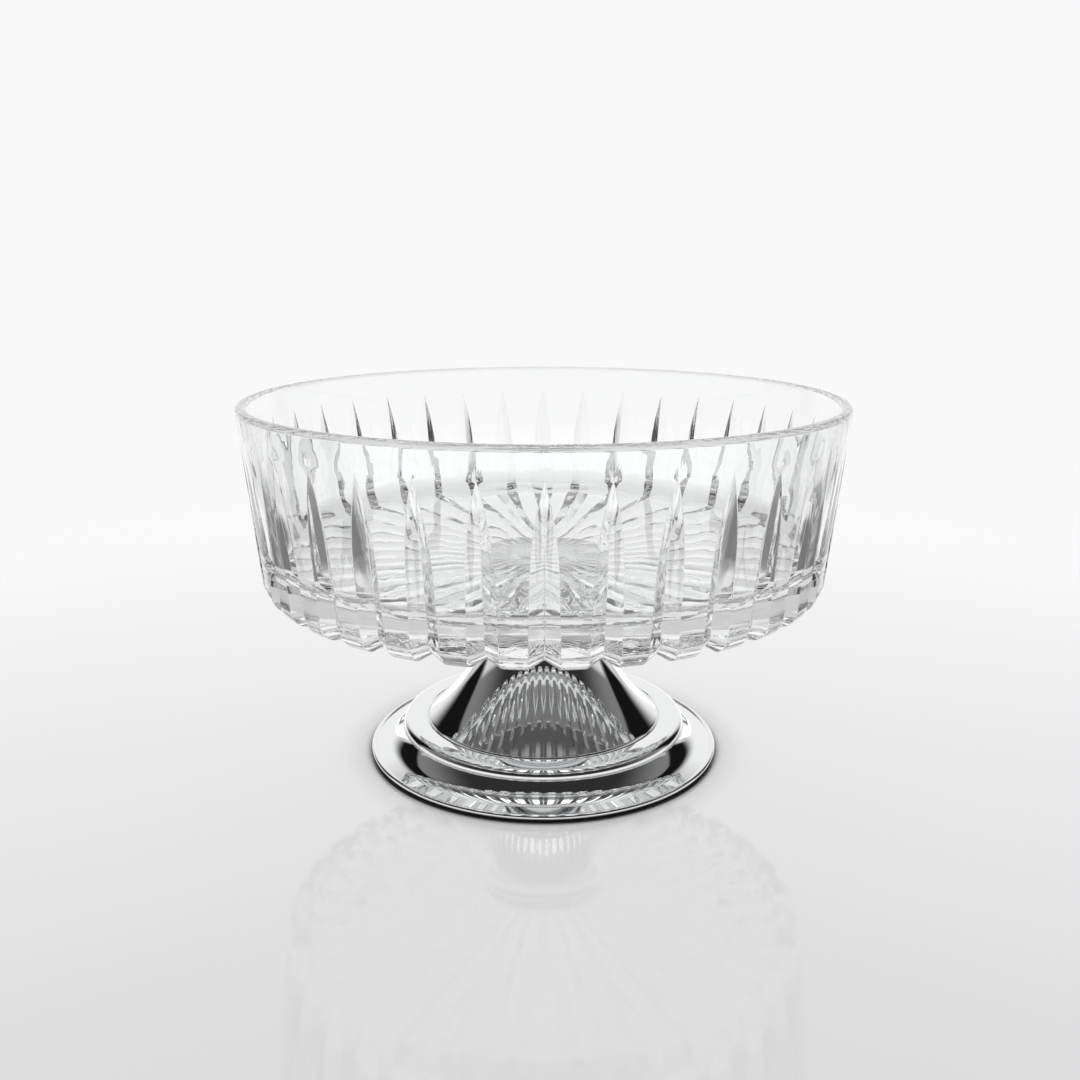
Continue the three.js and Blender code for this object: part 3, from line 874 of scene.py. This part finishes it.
# %% [markdown]
# A studio sheet runs up behind the object in one bend, so no edge shows. A bent sheet could be modelled. It
# is simpler to let a flat one fade into the white behind it. The camera sees it fade early. Light on its way
# through the glass meets more of it, as it would on a real sheet.

# %% Fade of the table
FADE_SEEN = (0.24, 0.48)
FADE_IN_GLASS = (0.35, 0.8)

distance = vector_step(sheet, "LENGTH", place).outputs["Value"]
faded = blend(sheet, ramp(sheet, distance, *FADE_IN_GLASS), ramp(sheet, distance, *FADE_SEEN), seen)
clear = sheet.nodes.new("ShaderNodeBsdfTransparent")
join = sheet.nodes.new("ShaderNodeMixShader")
sheet.links.new(faded, join.inputs["Fac"])
sheet.links.new(shader.outputs["BSDF"], join.inputs[1])
sheet.links.new(clear.outputs["BSDF"], join.inputs[2])
sheet.links.new(join.outputs["Shader"], sheet.nodes["Material Output"].inputs["Surface"])
table.data.materials.append(acrylic)
print("the table fades out between", *FADE_SEEN, "m for the camera")

# %% [markdown]
# ## The studio
# Clear glass has no look of its own: it shows what surrounds it. A lit white card behind makes it bright.
# Beside the card stand black flags, then dim grey walls, and these draw the dark lines that give the cuts
# their form. The room on the side of the camera is dark, and that is the black in the plating. The table
# lights the foot of the walls. Cards and walls could be planes round the bowl. A sky has no edges and no
# noise, so they are levels of the sky here, by height and by how far a direction points to the back.

# %% Directions
def sines(degrees):
    """The sines of two angles in degrees, which is how the sky measures a direction."""
    return [math.sin(math.radians(angle)) for angle in degrees]


world = bpy.data.worlds.new("studio")
bpy.context.scene.world = world
world.use_nodes = True
sky = world.node_tree
parts = sky.nodes.new("ShaderNodeSeparateXYZ")
sky.links.new(sky.nodes.new("ShaderNodeTexCoord").outputs["Generated"], parts.inputs[0])
up = parts.outputs["Z"]
level = reckon(sky, "SQRT", reckon(sky, "SUBTRACT", 1.0, reckon(sky, "MULTIPLY", up, up)))
backwards = reckon(sky, "DIVIDE", parts.outputs["Y"], level)
print("the sky has", len(sky.nodes), "nodes for its directions")

# %% [markdown]
# Each pair of angles below says where one level gives way to the next. Angles of height count from the
# horizon. Angles to the back count from straight beside the bowl, which is 0, to straight behind it, 90.

# %% Levels of the studio
ROOM = 0.03
SIDE_WALLS = 0.22
UPPER_ROOM = 0.05
FLAG = 0.008
BACKDROP = 0.97
BACKDROP_TOP = 0.6
WALL_FOOT = 0.75
OVERHEAD = 0.3
WALLS_DARKEN = (36, 58)
BACKDROP_DIMS = (27, 40)
WALLS_FROM = (-30, 20)
FLAG_FROM = (21, 25)
BACKDROP_FROM = (42, 62)
WALL_FOOT_TOP = (14, 9)
WALL_FOOT_END = (21, 17)
FLAG_FOOT_TOP = (4, 1)
FLAG_FOOT_END = (62, 42)
OVERHEAD_FROM = (68, 76)


def by_height(angles):
    """A ramp over the height of a direction."""
    return ramp(sky, up, *sines(angles))


def to_the_back(angles):
    """A ramp over how far a direction points to the back."""
    return ramp(sky, backwards, *sines(angles))


backdrop = blend(sky, BACKDROP, BACKDROP_TOP, by_height(BACKDROP_DIMS))
walls = blend(sky, SIDE_WALLS, UPPER_ROOM, by_height(WALLS_DARKEN))
light = blend(sky, ROOM, walls, to_the_back(WALLS_FROM))
light = blend(sky, light, FLAG, to_the_back(FLAG_FROM))
light = blend(sky, light, backdrop, to_the_back(BACKDROP_FROM))
wall_foot = reckon(sky, "MULTIPLY", by_height(WALL_FOOT_TOP), to_the_back(WALL_FOOT_END))
light = blend(sky, light, WALL_FOOT, wall_foot)
flag_foot = reckon(sky, "MULTIPLY", by_height(FLAG_FOOT_TOP), to_the_back(FLAG_FOOT_END))
light = blend(sky, light, WALL_FOOT, flag_foot)
light = blend(sky, light, OVERHEAD, by_height(OVERHEAD_FROM))
print("levels round the bowl:", BACKDROP, FLAG, SIDE_WALLS, ROOM, OVERHEAD)

# %% [markdown]
# The picture has a plain white ground on all sides. A white wall could stand there, but it would light the
# glass as well. So only the camera sees white, and the glass and the metal see the studio.

# %% White ground
SEEN_BY_CAMERA = 0.95

camera_ray = sky.nodes.new("ShaderNodeLightPath").outputs["Is Camera Ray"]
light = blend(sky, light, SEEN_BY_CAMERA, camera_ray)
background = sky.nodes["Background"]
background.inputs["Color"].default_value = (1, 1, 1, 1)
sky.links.new(light, background.inputs["Strength"])
print("the camera sees a ground of", SEEN_BY_CAMERA)

# %% [markdown]
# ## The soft box
# One soft box hangs over the bowl. It adds a little light from above to the table and small glints to the
# rim. A point lamp would give hard shadows and tiny dots, so it is a wide disc with little power.

# %% Soft box
BOX_WIDTH = 0.5
BOX_POWER = 1.0
BOX_PLACE = (0, 0.05, 1.2)

box = bpy.data.lights.new("soft_box", "AREA")
box.shape = "DISK"
box.size = BOX_WIDTH
box.energy = BOX_POWER
soft_box = bpy.data.objects.new("soft_box", box)
soft_box.location = BOX_PLACE
bpy.context.scene.collection.objects.link(soft_box)
print("soft box:", BOX_WIDTH, "m wide,", BOX_POWER, "W")

# %% [markdown]
# ## The camera
# The camera looks down by about fourteen degrees from two bowl-widths away, as in the photograph. Its place
# was worked out from the ellipses of the rim and the base. Light has to pass many surfaces in cut glass
# before it gets out. Short paths would end in black spots, so paths may be long.

# %% Camera
LENS = 36.83
SENSOR = 36.0
CAMERA_PLACE = (-0.0012, -0.3692, 0.1696)
CAMERA_TILT = 75.51
GLASS_BOUNCES = 48
MIRROR_BOUNCES = 24

camera_data = bpy.data.cameras.new("camera")
camera_data.lens = LENS
camera_data.sensor_width = SENSOR
camera = bpy.data.objects.new("camera", camera_data)
camera.location = CAMERA_PLACE
camera.rotation_euler = (math.radians(CAMERA_TILT), 0, 0)
bpy.context.scene.collection.objects.link(camera)
bpy.context.scene.camera = camera
bpy.context.scene.view_settings.view_transform = "Standard"
cycles = bpy.context.scene.cycles
cycles.max_bounces = GLASS_BOUNCES
cycles.transmission_bounces = GLASS_BOUNCES
cycles.glossy_bounces = MIRROR_BOUNCES
print("the camera stands at", CAMERA_PLACE, "m")
